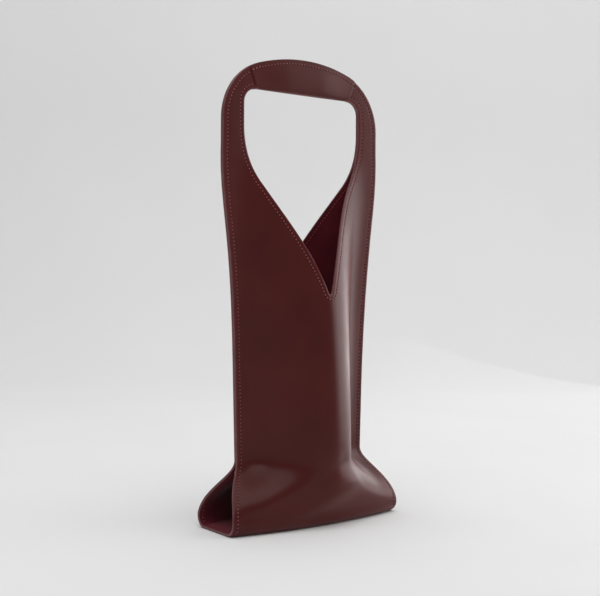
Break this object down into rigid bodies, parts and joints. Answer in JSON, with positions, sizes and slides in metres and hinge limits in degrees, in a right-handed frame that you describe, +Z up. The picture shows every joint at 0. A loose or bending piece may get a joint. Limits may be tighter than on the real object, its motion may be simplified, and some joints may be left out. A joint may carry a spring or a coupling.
{
  "type": "bottle carrier",
  "caption": "Soft leather carrier for a single bottle: a sewn sleeve with a deep neck notch, open triangular base ends and a padded arched handle.",
  "frame": {"origin": "middle of the underside of the base, on the surface that the carrier stands on", "axes": "+Z up to the handle, +X along the wide front towards its right-hand edge, -Y out of the front face"},
  "size_m": [0.1774, 0.1006, 0.4],
  "materials": {
    "leather": "satin",
    "lining": "smooth matte",
    "board": "pressed fibre",
    "padding": "foam",
    "thread": "waxed thread"
  },
  "bodies": {
    "pocket": {"front_panel": "leather", "back_panel": "leather", "base_panel": "leather", "front_lining": "lining", "back_lining": "lining", "base_lining": "lining", "base_board": "board", "right_seam_thread": "thread", "right_base_hem_thread": "thread", "left_seam_thread": "thread", "left_base_hem_thread": "thread", "front_neck_thread": "thread", "back_neck_thread": "thread"},
    "handle": {"front_loop": "leather", "back_loop": "leather", "front_loop_lining": "lining", "back_loop_lining": "lining", "grip_wrap": "leather", "grip_padding_front": "padding", "grip_padding_back": "padding", "loop_outer_thread": "thread", "loop_inner_thread": "thread", "grip_thread": "thread"}
  },
  "joints": [
    {"name": "handle_bend", "type": "hinge", "parent": "pocket", "child": "handle", "pos_m": [0, 0, 0.34], "axis": [1, 0, 0], "range_deg": [-60, 60], "stiffness_Nm_per_rad": 0.2}
  ]
}
